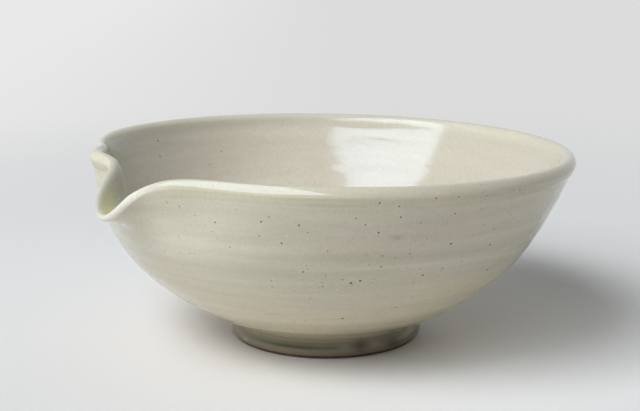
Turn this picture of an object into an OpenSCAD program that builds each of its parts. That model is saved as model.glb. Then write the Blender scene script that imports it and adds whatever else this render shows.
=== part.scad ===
// Katakuchi: a wheel-thrown stoneware bowl with a pouring lip pulled out of its rim.
// It stands on a foot ring, and a glaze coat covers all but the ring's resting edge.
// Millimetres, +Z up, the lip points along +X, and the origin is the middle of the foot on the table.
// A turn is an angle about Z, counted from the lip. Height up the wall is a share from 0 (foot) to 1 (rim).

/* [Bowl] */
// Outer radius of the clay at the rim
rim_radius = 74.5; // [62:0.5:90]
// Height of the rim above the table, at the middle of its rounded edge
rim_height = 57.4; // [50:0.2:75]
// Thickness of the clay wall
wall_thickness = 3; // [2:0.1:4.5]
// Extra thickness of the clay where the wall leaves the foot
base_swell = 4; // [1:0.5:6]
// Thickness of the clay at the middle of the floor
floor_thickness = 4; // [3:0.1:7]
// Angle above level at which the outside leaves the foot
rise_angle = 26; // [20:1:40]
// How strongly the outside keeps to that angle
rise_run = 33.5; // [20:0.5:38]
// Lean of the wall at the rim, outwards from upright
flare_angle = 18.5; // [6:0.5:28]
// How strongly the wall keeps to that lean
flare_run = 28.5; // [15:0.5:36]

/* [Rim] */
// How far the rolled rim stands out from the wall below it
roll_proud = 0.6; // [0.1:0.1:1.2]
// Height of the rolled rim above its crease
roll_height = 3.4; // [2:0.1:6]
// Slope of the rim, in degrees
rim_tilt = 1.8; // [0:0.1:4]
// Turn of the rim's high side
tilt_turn = 18; // [-180:1:180]
// How far the rim leans off centre
rim_lean = 1.1; // [0:0.1:3]
// How far the belly leans the other way
belly_lean = 1; // [0:0.1:3]
// Turn of the side that the rim leans to
lean_turn = 142; // [-180:1:180]

/* [Pouring lip] */
// How far the lip is pulled out past the rim
lip_reach = 6; // [2:0.1:12]
// Spread of the pull to each side, in degrees
lip_spread = 12.5; // [9:0.5:20]
// Height of wall that the pull bends outwards
lip_depth = 12.5; // [8:0.5:25]
// How far the edge of the lip dips below the rim
lip_drop = 13; // [3:0.1:15]
// Spread of the dip to each side, in degrees
drop_spread = 11; // [7:0.1:15]
// Height of wall that gives way to the dip
drop_depth = 28; // [24:0.5:45]
// Thickness of the clay at the edge of the lip
lip_edge = 0.9; // [0.8:0.1:3]
// How far the rim is pinched in on one side of the lip
pinch = 6.4; // [0:0.1:8]
// Turn of the pinch
pinch_turn = -12.8; // [-18:0.1:-10]
// How far the rim swells out on the other side of the lip
swell = 2.5; // [0:0.1:5]
// Turn of the swell
swell_turn = 16; // [10:0.5:25]
// Spread of the pinch and of the swell, in degrees
fold_spread = 7; // [5.5:0.1:10]
// How far a hand has flattened the rim beyond the pinch
flat = 3.6; // [0:0.1:5]
// Turn of the flattened stretch
flat_turn = -34; // [-50:1:-28]
// Spread of the flattened stretch, in degrees
flat_spread = 10; // [7:0.5:16]
// Height of wall that the pinch, swell and flattening run down
fold_depth = 15; // [10:0.5:35]

/* [Foot] */
// Outer radius of the foot ring where it meets the bowl
foot_radius = 29.8; // [25:0.1:35]
// Height of the foot ring
foot_height = 6.3; // [5:0.1:9]
// How much the ring narrows towards the table
foot_taper = 0.3; // [0:0.1:2]
// Width of the ring's resting edge, with its rounded corners
foot_width = 6; // [4:0.1:9]
// Radius of the ring's lower corners
foot_round = 0.7; // [0.3:0.1:1]

/* [Glaze] */
// Thickness of the glaze
glaze = 0.5; // [0.3:0.05:0.8]
// Height of the bare clay left above the table
bare_height = 0.9; // [0.7:0.1:2]
// Height of the glaze pooled in the corner above the foot
pool_height = 1.4; // [0.8:0.1:3]

/* [Hidden] */
$fn = 96;

columns = 64;
wall_steps = 12;
rim_steps = 4;
floor_steps = 5;
corner_steps = 4;
// Columns gather round the lip and wall rings gather under the rim, where the shape changes fastest
lip_crowding = 0.5;
rim_crowding = 1.8;
nudge = 0.002;

clay_colour = [0.56, 0.42, 0.34];
foot_clay_colour = [0.5, 0.36, 0.28];
outside_colour = [0.79, 0.77, 0.68];
inside_colour = [0.77, 0.72, 0.66];
foot_glaze_colour = [0.56, 0.53, 0.42];
base_glaze_colour = [0.7, 0.67, 0.56];

foot_bottom_radius = foot_radius - foot_taper;
foot_inner_radius = foot_bottom_radius - foot_width;
pool_reach = glaze / sin(rise_angle);

turns = [for (i = [0:columns - 1]) 360 * i / columns - lip_crowding * sin(360 * i / columns) * 180 / PI];
heights = [for (i = [0:wall_steps]) 1 - pow(1 - i / wall_steps, rim_crowding)];

function unit(v) = v / norm(v);
function clip(x) = max(0, min(1, x));
function ease(x) = clip(x) * clip(x) * (3 - 2 * clip(x));
function bump(x) = exp(-x * x);
// The same turn, counted up to half way round in each direction
function half_turn(turn) = turn - 360 * round(turn / 360);

// Outside of the thrown bowl in section, before it was leaned and pinched: a curve through four points
wall_points = [
  [foot_radius, foot_height],
  [foot_radius + rise_run * cos(rise_angle), foot_height + rise_run * sin(rise_angle)],
  [rim_radius - flare_run * sin(flare_angle), rim_height - flare_run * cos(flare_angle)],
  [rim_radius, rim_height]
];
function section(h) =
  pow(1 - h, 3) * wall_points[0] + 3 * pow(1 - h, 2) * h * wall_points[1]
  + 3 * (1 - h) * h * h * wall_points[2] + pow(h, 3) * wall_points[3];

// What the lip pulls outwards and down, and what the pinch, swell and flattened stretch beside it add
function fold(turn) =
  swell * bump((turn - swell_turn) / fold_spread) - pinch * bump((turn - pinch_turn) / fold_spread)
  - flat * bump((turn - flat_turn) / flat_spread);
function lip_share(turn, below) = bump(turn / lip_spread) * pow(max(0, 1 - below / lip_depth), 2);
function push(turn, below) = lip_reach * lip_share(turn, below) + fold(turn) * ease(1 - below / fold_depth);
function dip(turn, below) =
  lip_drop * bump(turn / drop_spread) * pow(max(0, 1 - below / drop_depth), 2);
function lean(share) = rim_lean * share * share - belly_lean * pow(sin(180 * clip(share)), 2);

// Outside of the finished clay bowl
function outside(turn, h) =
  let (p = section(h), t = half_turn(turn))
  let (below = rim_height - p[1], share = max(0, (p[1] - foot_height) / (rim_height - foot_height)))
  let (radius = p[0] + push(t, below), shift = lean(share))
  let (tilt = tan(rim_tilt) * cos(t - tilt_turn) * radius * share)
  [
    radius * cos(t) + shift * cos(lean_turn),
    radius * sin(t) + shift * sin(lean_turn),
    p[1] - dip(t, below) + tilt
  ];
function upward(turn, h) = unit(outside(turn, h + nudge) - outside(turn, h - nudge));
function outward(turn, h) =
  unit(cross(outside(turn + nudge * 90, h) - outside(turn - nudge * 90, h), upward(turn, h)));

// How far the roll stands out, and how far the inside lies in, at a turn and height
function roll(turn, h) =
  let (below = rim_height - section(h)[1])
  roll_proud * ease((roll_height - below) / (roll_height / 2)) * (1 - lip_share(half_turn(turn), below));
function thickness(turn, h) =
  let (thin = lip_share(half_turn(turn), rim_height - section(h)[1]))
  (wall_thickness + base_swell * pow(1 - h, 3)) * (1 - thin) + lip_edge * thin;

// Rings of points on the clay (grow 0) or on the glaze (grow by its thickness)
function outer_ring(h, grow) =
  [for (t = turns) outside(t, h) + outward(t, h) * (roll(t, h) + grow)];
function inner_ring(h, grow) =
  [for (t = turns) outside(t, h) - outward(t, h) * (thickness(t, h) + grow)];
function rim_ring(angle, grow) =
  [for (t = turns)
    let (out = outward(t, 1), up = upward(t, 1), r = roll(t, 1), w = thickness(t, 1))
    outside(t, 1) + out * (r - w) / 2 + ((r + w) / 2 + grow) * (out * cos(angle) + up * sin(angle))];

// The floor sweeps from the foot of the inside wall down to its middle, level there
function floor_ring(i, grow) =
  let (edge = inner_ring(0, grow), next = inner_ring(nudge, grow))
  let (level = foot_height + floor_thickness + grow)
  [for (k = [0:columns - 1])
    let (r = norm([edge[k][0], edge[k][1]]), rise = edge[k][2] - level, x = i / floor_steps)
    let (slope = (next[k][2] - edge[k][2]) / (norm([next[k][0], next[k][1]]) - r))
    [edge[k][0] * x, edge[k][1] * x, level + rise * pow(x, max(2, slope * r / max(rise, 0.5)))]];

function seat_ring(radius) = [for (t = turns) [radius * cos(t), radius * sin(t), foot_height]];
function outer_rings(grow) = concat(
  [seat_ring(foot_radius + (grow > 0 ? pool_reach : 0))],
  [for (i = [1:wall_steps]) outer_ring(heights[i], grow)]
);
function inner_rings(grow) = concat(
  [for (i = [wall_steps:-1:0]) inner_ring(heights[i], grow)],
  [for (i = [floor_steps - 1:-1:1]) floor_ring(i, grow)]
);
function rim_rings(first, last, grow) =
  [for (i = [first:last]) rim_ring(180 * i / rim_steps, grow)];
crest = rim_steps / 2;
function floor_middle(grow) = [0, 0, foot_height + floor_thickness + grow];

function reversed(list) = [for (i = [len(list) - 1:-1:0]) list[i]];
function joined(rings) = [for (ring = rings) each ring];
// Two triangles for each square between two rings; the slanting edge runs one way or the other
function square(a, b, c, d, other_way) = other_way ? [[a, d, b], [d, c, b]] : [[a, d, c], [a, c, b]];
function band(i, k, other_way) = [for (j = [0:columns - 1]) let (n = (j + 1) % columns)
  each square(i * columns + j, i * columns + n, k * columns + n, k * columns + j, other_way)];

// A closed solid over rings, with a point at each end
module ring_solid(rings, low, high, other_way = false) {
  count = len(rings);
  low_at = count * columns;
  last = (count - 1) * columns;
  polyhedron(
    points = concat(joined(rings), [low, high]),
    faces = concat(
      [for (i = [0:count - 2]) each band(i, i + 1, other_way)],
      [for (j = [0:columns - 1]) [low_at, j, (j + 1) % columns]],
      [for (j = [0:columns - 1]) [low_at + 1, last + (j + 1) % columns, last + j]]
    )
  );
}

// A closed solid over rings that come back to the first
module ring_loop(rings, other_way = false) {
  count = len(rings);
  polyhedron(
    points = joined(rings),
    faces = [for (i = [0:count - 1]) each band(i, (i + 1) % count, other_way)]
  );
}

// The thrown wall, rim, lip and floor, flat underneath where the foot ring is luted on
module clay_bowl() {
  color(clay_colour)
    ring_solid(
      concat(outer_rings(0), rim_rings(1, rim_steps - 1, 0), inner_rings(0)),
      [0, 0, foot_height],
      floor_middle(0)
    );
}

// The glaze over the outside, from the foot to the crest of the rim
module outside_glaze() {
  color(outside_colour)
    ring_loop(
      concat(
        outer_rings(glaze),
        rim_rings(1, crest, glaze),
        reversed(concat(outer_rings(0), rim_rings(1, crest, 0)))
      ),
      other_way = true
    );
}

// The glaze over the inside, from the crest of the rim to the middle of the floor
module inside_glaze() {
  color(inside_colour)
    ring_solid(
      concat(
        reversed(concat(rim_rings(crest, rim_steps - 1, 0), inner_rings(0))),
        rim_rings(crest, rim_steps - 1, glaze),
        inner_rings(glaze)
      ),
      floor_middle(0),
      floor_middle(glaze),
      other_way = true
    );
}

// Points of a rounded lower corner of the ring, from one side to the other
function lower_corner(x, from) = [for (i = [0:corner_steps])
  let (a = from + 90 * i / corner_steps)
  [x + foot_round * cos(a), foot_round + foot_round * sin(a)]];

// The ring that the bowl stands on
module foot_ring() {
  color(foot_clay_colour)
    rotate_extrude()
      polygon(concat(
        [[foot_inner_radius, foot_height]],
        lower_corner(foot_inner_radius + foot_round, 180),
        lower_corner(foot_bottom_radius - foot_round, 270),
        [[foot_radius, foot_height]]
      ));
}

// Outer radius of the ring at a height above its rounded corner
function foot_side(z) = foot_bottom_radius + foot_taper * (z - foot_round) / (foot_height - foot_round);

// The glaze down the outside of the ring, pooled in the corner under the bowl
module foot_glaze() {
  pool_z = foot_height - pool_height;
  hem_z = bare_height + glaze;
  color(foot_glaze_colour)
    rotate_extrude()
      polygon([
        [foot_radius, foot_height],
        [foot_side(bare_height), bare_height],
        [foot_side(hem_z) + glaze, hem_z],
        [foot_side(pool_z) + glaze, pool_z],
        [foot_radius + pool_reach, foot_height]
      ]);
}

// The glaze under the bowl and down the inside of the ring
module base_glaze() {
  color(base_glaze_colour)
    rotate_extrude()
      polygon([
        [0, foot_height],
        [0, foot_height - glaze],
        [foot_inner_radius - glaze, foot_height - glaze],
        [foot_inner_radius - glaze, bare_height + glaze],
        [foot_inner_radius, bare_height],
        [foot_inner_radius, foot_height]
      ]);
}

clay_bowl();
foot_ring();
outside_glaze();
inside_glaze();
foot_glaze();
base_glaze();
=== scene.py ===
"""A wheel-thrown stoneware katakuchi under a glossy pale ash glaze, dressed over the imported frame.

Lengths are millimetres until a mesh is made, and turns are degrees about Z counted from the pouring lip.
The shape repeats the frame's own formulas at a finer step, and adds what is too small for the frame: throwing
marks, a softer roll and bevel of the rim, the thinner edge of the lip, the waist of the foot and iron specks.
"""
import math

import bpy
import numpy as np
from mathutils import Matrix, Quaternion, Vector


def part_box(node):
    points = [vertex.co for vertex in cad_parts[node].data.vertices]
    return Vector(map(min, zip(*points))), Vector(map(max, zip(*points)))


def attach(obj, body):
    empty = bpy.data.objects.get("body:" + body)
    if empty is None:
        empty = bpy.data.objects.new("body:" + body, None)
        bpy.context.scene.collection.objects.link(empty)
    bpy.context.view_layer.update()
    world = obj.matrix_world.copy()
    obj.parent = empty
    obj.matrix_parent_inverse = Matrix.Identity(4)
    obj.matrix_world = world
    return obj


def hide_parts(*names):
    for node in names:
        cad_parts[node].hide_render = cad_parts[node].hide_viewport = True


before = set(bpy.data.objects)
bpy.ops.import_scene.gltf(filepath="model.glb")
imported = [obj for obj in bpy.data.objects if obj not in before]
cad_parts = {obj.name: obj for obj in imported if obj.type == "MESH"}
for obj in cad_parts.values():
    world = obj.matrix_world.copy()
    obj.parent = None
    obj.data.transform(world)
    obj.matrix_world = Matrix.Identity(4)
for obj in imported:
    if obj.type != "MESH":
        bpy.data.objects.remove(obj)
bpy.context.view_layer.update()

MM = 0.001

# Sizes of the pot that the frame gives
FOOT_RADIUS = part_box("foot_ring")[1].x / MM
FOOT_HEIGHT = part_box("foot_ring")[1].z / MM
FOOT_INNER_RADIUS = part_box("base_glaze")[1].x / MM
BARE_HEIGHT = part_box("base_glaze")[0].z / MM
FLOOR_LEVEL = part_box("inside_glaze")[0].z / MM

# Bowl
RIM_RADIUS = 74.5
RIM_HEIGHT = 57.4
WALL_THICKNESS = 3.0
BASE_SWELL = 4.0
RISE_ANGLE = 26.0
RISE_RUN = 33.5
FLARE_ANGLE = 18.5
FLARE_RUN = 28.5

# Rim
ROLL_PROUD = 0.45
ROLL_HEIGHT = 2.6
RIM_BEVEL = 1.2
BEVEL_MORE = 0.5
BEVEL_TURN = 36.0
BEVEL_SPREAD = 17.0
RIM_TILT = 1.8
TILT_TURN = 18.0
RIM_LEAN = 1.1
BELLY_LEAN = 1.0
LEAN_TURN = 142.0

# Pouring lip
LIP_REACH = 6.0
LIP_SPREAD = 12.5
LIP_DEPTH = 12.5
LIP_DROP = 12.1
DROP_TURN = 0.6
DROP_SPREAD = 9.8
DROP_DEPTH = 28.0
LIP_EDGE = 0.9
PINCH = 6.4
PINCH_TURN = -12.8
SWELL = 2.5
SWELL_TURN = 16.0
FOLD_SPREAD = 7.0
FLAT = 3.6
FLAT_TURN = -34.0
FLAT_SPREAD = 10.0
FOLD_DEPTH = 15.0
# The rim is thinner where both sides of the lip were pinched out of it. Its roll fades out at the lip and is
# softer beside it
THIN_TURN = -42.0
THIN_SPREAD = 9.0
THIN_SHARE = 0.8
NEAR_TURN = 12.0
NEAR_SPREAD = 6.5
NEAR_SHARE = 0.7
THIN_DEPTH = 9.0
ROLL_FADE = 11.0
ROLL_SOFT_TURN = 20.0
ROLL_SOFT_SPREAD = 45.0
ROLL_SOFT_SHARE = 0.7
# The rim is rolled inwards on the far side
ROLL_IN = 0.30
ROLL_IN_DEPTH = 3.6
ROLL_IN_TURN = -106.0
ROLL_IN_SPREAD = 60.0

# Foot and glaze
FOOT_TAPER = 0.3
FOOT_ROUND = 0.7
# The foot is turned a little narrower than the frame's, and more so under the bowl, where the glaze pooled
FOOT_INSET = 0.15
FOOT_NECK = 1.3
NECK_FROM = 1.8
GLAZE = 0.5
POOL_HEIGHT = 1.4
POOL_REACH = GLAZE / math.sin(math.radians(RISE_ANGLE))
# Share of the wall's height at which the outside coat rises from the pool
POOL_SHARE = 0.0125
# Radius of the last ring round the middle of the base
BASE_MIDDLE = 1.0
# The floor falls to a level middle by a power of the distance: its least, and the least rise it comes from
FLOOR_POWER = 2.0
FLOOR_RISE = 0.5

# Fineness of the meshes
COLUMNS = 512
WALL_STEPS = 170
CLAY_STEPS = 48
RIM_STEPS = 14
FLOOR_STEPS = 30
PATH_STEPS = 400
ROUND_POINTS = 9
NECK_POINTS = 7
HEM_POINTS = 8
RUN_POINTS = 24
POOL_POINTS = 12
BACK_POINTS = 12
BASE_HEM_POINTS = 6
BASE_BEND_POINTS = 8
BASE_POINTS = 14
LIP_CROWDING = 0.4
RIM_CROWDING = 1.3
SHARP_ANGLE = 50.0
# Small steps for slopes, up the wall and round it
NUDGE = 0.001
NUDGE_TURN = 0.09
# Angles over the rim, from its outside at 0 over its crest to its inside
CREST = 90.0
RIM_INSIDE = 180.0
# A very narrow last ring, so that shading runs on across the seam between two coats
SEAM_ANGLE = 0.4

# Throwing marks: (pitch, depth, phase, turns of spiral, wander, lobes)
OUTSIDE_MARKS = (
    (9.5, 0.030, 0.4, 1, 0.9, 2),
    (5.3, 0.014, 2.1, 1, 1.3, 3),
    (2.7, 0.006, 4.4, 2, 1.9, 5),
)
INSIDE_MARKS = (
    (11.0, 0.040, 1.2, 1, 0.8, 2),
    (6.1, 0.020, 3.0, 1, 1.2, 3),
    (3.3, 0.009, 5.2, 2, 2.1, 5),
)
# The wander drifts along this length, and the marks fade out towards the foot, the rim and the floor's middle
MARKS_DRIFT = 23.0
MARKS_ABOVE_FOOT = 5.0
MARKS_BELOW_RIM = 3.0
MARKS_RIM_FADE = 4.0
INSIDE_BELOW_RIM = 1.0
INSIDE_RIM_FADE = 5.0
FLOOR_MARKS_FADE = 0.4

# Colours, as linear shares of the light that comes back
ASH_GREY = (0.557, 0.511, 0.387)
ASH_WARM = (0.587, 0.511, 0.342)
BLUSH = (0.572, 0.473, 0.369)
WARM_BEIGE = (0.572, 0.463, 0.314)
BAND_GREY = (0.439, 0.415, 0.314)
SMUDGE = (0.257, 0.240, 0.184)
# Painted highlight along the throwing ridge
RIDGE_PAINTED_HIGHLIGHT = (0.654, 0.593, 0.455)
# Painted light and painted shade, laid in patches over the outside glaze
ASH_PAINTED_LIGHT = (0.665, 0.608, 0.469)
ASH_PAINTED_SHADE = (0.496, 0.454, 0.337)
RIM_CREAM = (0.640, 0.570, 0.428)
RIM_BUFF = (0.620, 0.560, 0.380)
RIM_STRAW = (0.540, 0.490, 0.345)
# Painted highlight along the edge of the lip
RIM_PAINTED_HIGHLIGHT = (0.760, 0.720, 0.600)
RIM_PINK = (0.655, 0.600, 0.460)
RIM_OLIVE = (0.535, 0.480, 0.350)
INSIDE_BEIGE = (0.615, 0.542, 0.417)
# Greyer glaze with painted shade, painted light and painted shade, as bands on the inside
INSIDE_GREY_PAINTED_SHADE = (0.478, 0.450, 0.356)
INSIDE_PAINTED_LIGHT = (0.710, 0.630, 0.486)
INSIDE_PAINTED_SHADE = (0.564, 0.494, 0.373)
LIP_OLIVE = (0.455, 0.395, 0.160)
LIP_SHADE = (0.350, 0.317, 0.225)
FOOT_OLIVE = (0.190, 0.168, 0.100)
FOOT_DARK = (0.054, 0.047, 0.028)
FOOT_BUFF = (0.229, 0.182, 0.120)
# Pale glaze with painted light, under the bowl
FOOT_PALE_AND_PAINTED_LIGHT = (0.470, 0.420, 0.300)
# Painted reflection on the foot
FOOT_PAINTED_REFLECTION = (0.310, 0.285, 0.235)
FOOT_BROWN = (0.214, 0.140, 0.097)
FOOT_GREEN = (0.353, 0.340, 0.216)
CLAY_BROWN = (0.300, 0.170, 0.110)
BARE_CLAY = (0.118, 0.058, 0.034)
IRON = (0.064, 0.048, 0.035)
RUST = (0.1408, 0.0864, 0.0490)
PINHOLE = (0.856, 0.780, 0.662)
FLOOR_GREY = (0.838, 0.790, 0.742)
BACKGROUND_GREY = (0.715, 0.715, 0.715)
BACKGROUND_PALE = (0.81, 0.81, 0.81)

# Soft patches of colour: turn, length up the wall, half width in degrees, half height, share, colour
OUTSIDE_PATCHES = (
    # Paler ash high on the lit left and by the far right edge: painted light
    (20.0, 60.0, 16.0, 12.0, 0.85, ASH_PAINTED_LIGHT),
    (122.0, 50.0, 11.0, 20.0, 0.60, ASH_PAINTED_LIGHT),
    # Deeper ash on the front and towards the right: painted shade
    (96.0, 38.0, 15.0, 16.0, 0.45, ASH_PAINTED_SHADE),
    (58.0, 50.0, 20.0, 16.0, 0.55, ASH_PAINTED_SHADE),
    (-19.0, 68.0, 5.0, 1.6, 0.50, RIM_OLIVE),
    (60.0, 58.0, 11.0, 4.0, 0.45, BLUSH),
    (75.0, 59.5, 7.0, 3.0, 0.35, BLUSH),
    (94.0, 36.0, 14.0, 5.0, 0.50, WARM_BEIGE),
    (150.0, 42.0, 16.0, 6.0, 0.50, BLUSH),
    (205.0, 56.0, 13.0, 5.0, 0.50, BLUSH),
    (245.0, 34.0, 15.0, 5.0, 0.45, WARM_BEIGE),
    (300.0, 50.0, 12.0, 6.0, 0.50, BLUSH),
    # Olive low on the front: partly the glaze's own, partly painted shade by the foot
    (76.0, 9.0, 26.0, 10.0, 0.34, FOOT_OLIVE),
    (82.0, 52.3, 26.0, 1.3, 0.40, BAND_GREY),
    (45.0, 46.5, 20.0, 1.5, 0.20, BAND_GREY),
    (230.0, 50.0, 40.0, 1.5, 0.30, BAND_GREY),
    (67.3, 59.0, 1.3, 0.9, 0.50, SMUDGE),
    (36.5, 28.5, 1.6, 0.9, 0.22, SMUDGE),
    (188.0, 47.0, 1.6, 1.0, 0.40, SMUDGE),
)
# The same on the foot, with the height above the table in place of the length
FOOT_PATCHES = (
    (34.0, 3.45, 28.0, 0.50, 1.0, FOOT_DARK),
    (-16.0, 4.60, 9.0, 1.30, 0.55, FOOT_DARK),
    (200.0, 3.30, 45.0, 0.45, 0.50, FOOT_DARK),
    # Grey patches of painted reflection
    (63.5, 3.90, 3.6, 1.3, 0.60, FOOT_PAINTED_REFLECTION),
    (82.2, 3.60, 4.2, 1.3, 0.60, FOOT_PAINTED_REFLECTION),
    (310.0, 3.80, 5.0, 1.3, 0.50, FOOT_PAINTED_REFLECTION),
    (72.6, 3.60, 4.4, 1.7, 1.0, FOOT_DARK),
    (95.7, 3.20, 5.6, 1.6, 1.0, FOOT_DARK),
    (140.0, 3.40, 3.2, 1.0, 0.80, FOOT_DARK),
    (262.0, 3.10, 3.0, 1.1, 0.80, FOOT_DARK),
    (-7.0, 4.30, 4.5, 1.1, 0.70, FOOT_BROWN),
    (-3.8, 1.95, 2.6, 0.6, 0.60, FOOT_GREEN),
)
# Soft upright bands of colour, on the crest of the rim and on the inside: turn, half width, share, colour
CREST_BANDS = (
    (26.0, 30.0, 0.8, RIM_STRAW),
    # White at the lip: a painted highlight
    (7.0, 9.0, 0.9, RIM_PAINTED_HIGHLIGHT),
    (95.0, 40.0, 0.6, RIM_OLIVE),
)
INSIDE_BANDS = (
    # Greyer and darker on the inside left: greyer glaze with painted shade
    (-40.0, 23.0, 1.0, INSIDE_GREY_PAINTED_SHADE),
    # Paler on the far inside, left of the middle: painted light
    (-106.0, 30.0, 0.9, INSIDE_PAINTED_LIGHT),
    # Darker on the inside right: painted shade
    (-178.0, 30.0, 0.8, INSIDE_PAINTED_SHADE),
)
# Low on the inside the bands end, by share of the wall's height, and at the rim the crest's colour takes over
BANDS_FROM = 0.45
BANDS_FADE = 0.35
INSIDE_CREST_SHARE = 0.9
INSIDE_CREST_DEPTH = 3.0
# Shade in the far shoulder of the lip and on the far side of its channel, and the olive pool in the lip
SHOULDER_TURN = -33.0
SHOULDER_SPREAD = 6.0
SHOULDER_SHARE = 0.8
SHOULDER_DEPTH = 5.0
SHOULDER_FADE = 3.0
SHADE_TURN = -7.0
SHADE_SPREAD = 9.0
SHADE_SHARE = 0.85
SHADE_EDGE = 1.6
SHADE_DEPTH = 16.0
SHADE_FADE = 8.0
LIP_POOL_SPREAD = 7.5
LIP_POOL_SHARE = 0.95
LIP_POOL_EDGE = 1.0
LIP_POOL_DEPTH = 6.0
LIP_POOL_FADE = 4.0
# Outside, the glaze is warmer low on the wall, by share of its height, and olive by the foot, by length
WARM_BELOW = 0.62
WARM_FADE = 0.5
# The olive by the foot is partly the glaze's own and partly painted shade where the wall turns under
OLIVE_SHADE_REACH = 8.0
OLIVE_SHADE_SHARE = 0.50
OLIVE_SHADE_POWER = 1.5
# Two bands under the rim's edge, pink and buff on the left and olive elsewhere, which leave the lip out
LEFT_TURN = 24.0
LEFT_SPREAD = 34.0
NO_BAND_TURN = 4.0
NO_BAND_SPREAD = 14.0
LOW_BAND_SHARE = 0.7
LOW_BAND_DEPTH = ROLL_HEIGHT + 0.75
LOW_BAND_FADE = 1.0
HIGH_BAND_SHARE = 0.8
HIGH_BAND_DEPTH = 1.95
HIGH_BAND_FADE = 0.9
CREST_DEPTH = 0.5
CREST_FADE = 0.7
# The foot's glaze is buff by its hem and pale under the bowl, by share of its height
FOOT_BUFF_BELOW = 0.42
FOOT_BUFF_FADE = 0.3
# The pale under the bowl is partly the glaze's own and partly painted light against the shade there
FOOT_PALE_ABOVE = 0.62
FOOT_PALE_FADE = 0.34
# The throwing line that stands out on the front, by length up the wall and turn
RIDGE_PATH = 49.5
RIDGE_TURN = 72.0
RIDGE_DROOP = 0.002
RIDGE_FROM = 40.0
RIDGE_TO = 128.0
RIDGE_FADE = 14.0
RIDGE_WIDTH = 0.6
RIDGE_PROUD = 0.05
# The paler tint along the ridge is a painted highlight
RIDGE_HIGHLIGHT_SHARE = 0.34

# Noises in the materials: scale, detail, roughness; most of a noise lies in its middle range
GLAZE_CLOUDS = (34.0, 3.0, 0.55)
GLAZE_STREAKS = (1.0, 3.0, 0.6)
GLAZE_GRAIN = (900.0, 2.0, 0.6)
GLAZE_CROWD = (26.0, 1.0, 0.5)
GLAZE_RIPPLE = (1.0, 2.0, 0.5)
CLAY_GRIT = (1400.0, 4.0, 0.65)
CLAY_TOAST = (90.0, 3.0, 0.55)
IRON_MOTTLE = (1800.0, 2.0, 0.6)
TABLE_CLOUD = (6.0, 2.0, 0.5)
NOISE_MIDDLE = (0.3, 0.7)
BLUSH_RANGE = (0.48, 0.74)
CROWD_RANGE = (0.38, 0.62)
TOAST_RANGE = (0.35, 0.7)
# Brushed streaks and ripples lie along the turning of the wheel
STREAK_STRETCH = (22.0, 22.0, 260.0)
RIPPLE_STRETCH = (150.0, 150.0, 420.0)
GRAIN_DARK = (0.97, 0.97, 0.965)
GRAIN_PALE = (1.03, 1.03, 1.035)
# Spots of iron and pinholes in the materials: size of a cell, largest radius; then their shares and shifts
FINE_SPOTS = (1.45, 0.27)
FINE_SHARE = 0.62
CROWD_SHARES = (0.25, 1.0)
COARSE_SPOTS = (4.0, 0.36)
COARSE_SHARE = 0.6
COARSE_SHIFT = (0.31, 0.17, 0.05)
PINHOLES = (3.8, 0.27)
PINHOLE_SHARE = 0.7
PINHOLE_SHIFT = (0.07, 0.43, 0.21)
CLAY_SPOTS = (1.7, 0.2)
CLAY_SPOT_SHARE = 0.8
EMPTY_CELLS = 0.35
SPOT_SOFTNESS = 0.35
# Bumps of the materials, in metres, and how their roughness spreads
RIPPLE_DEPTH = 0.00008
PIT_STRENGTH = 0.4
PIT_DEPTH = 0.00005
GRIT_STRENGTH = 0.5
GRIT_DEPTH = 0.0001
GLAZE_ROUGHER = (0.8, 1.3)
CLAY_ROUGHNESS = (0.7, 0.9)
IRON_ROUGHNESS = (0.30, 0.55)
TOAST_DARK = 0.62

# The larger iron specks that show outside and inside: turn, share of the wall's height, radius
OUTSIDE_SPECKS = (
    (57.8, 0.333, 0.42), (58.8, 0.621, 0.36), (61.0, 0.633, 0.38), (76.7, 0.642, 0.34), (98.9, 0.600, 0.40),
    (81.2, 0.801, 0.36), (93.8, 0.763, 0.34), (66.3, 0.974, 0.34), (38.2, 0.907, 0.28), (46.2, 0.901, 0.30),
    (42.6, 0.823, 0.28), (48.1, 0.873, 0.20), (52.7, 0.794, 0.22), (47.5, 0.685, 0.24), (52.2, 0.600, 0.24),
    (56.7, 0.642, 0.24), (63.0, 0.874, 0.28), (59.9, 0.907, 0.22), (57.8, 0.931, 0.20), (62.1, 0.988, 0.26),
    (67.1, 0.932, 0.24), (65.3, 0.711, 0.24), (65.0, 0.768, 0.22), (71.4, 0.771, 0.20), (73.0, 0.413, 0.26),
    (81.6, 0.669, 0.26), (109.2, 0.316, 0.36), (71.9, 0.907, 0.20), (79.5, 0.932, 0.24), (92.6, 0.843, 0.24),
    (39.9, 0.927, 0.20), (37.7, 0.849, 0.18), (39.7, 0.624, 0.20), (39.6, 0.338, 0.18), (17.6, 0.955, 0.18),
    (27.7, 0.888, 0.24), (26.7, 0.848, 0.18), (23.1, 0.909, 0.18), (20.0, 0.941, 0.18), (32.7, 0.945, 0.18),
    (30.6, 0.784, 0.20), (19.4, 0.726, 0.18), (73.9, 0.998, 0.24), (79.0, 0.998, 0.22), (86.0, 0.992, 0.20),
    (93.6, 0.998, 0.26), (95.5, 0.996, 0.24),
)
INSIDE_SPECKS = ((-71.5, 0.948, 0.34), (-71.0, 0.875, 0.32), (-94.0, 0.858, 0.26), (-89.5, 0.794, 0.20))
# Others are strewn over the sides that the photograph does not show
STREWN_SPECKS = 70
STREWN_TURNS = (118.0, 372.0)
STREWN_HEIGHTS = (0.15, 0.99)
STREWN_RADII = (0.16, 0.36)
SPECK_SEED = 11
SPECK_SIDES = 10
SPECK_PROUD = 0.035
SPECK_SUNK = 0.12
SPECK_EDGE = 0.010
SPECK_UNEVEN = 0.16
SPECK_SIZE = 0.95

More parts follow.
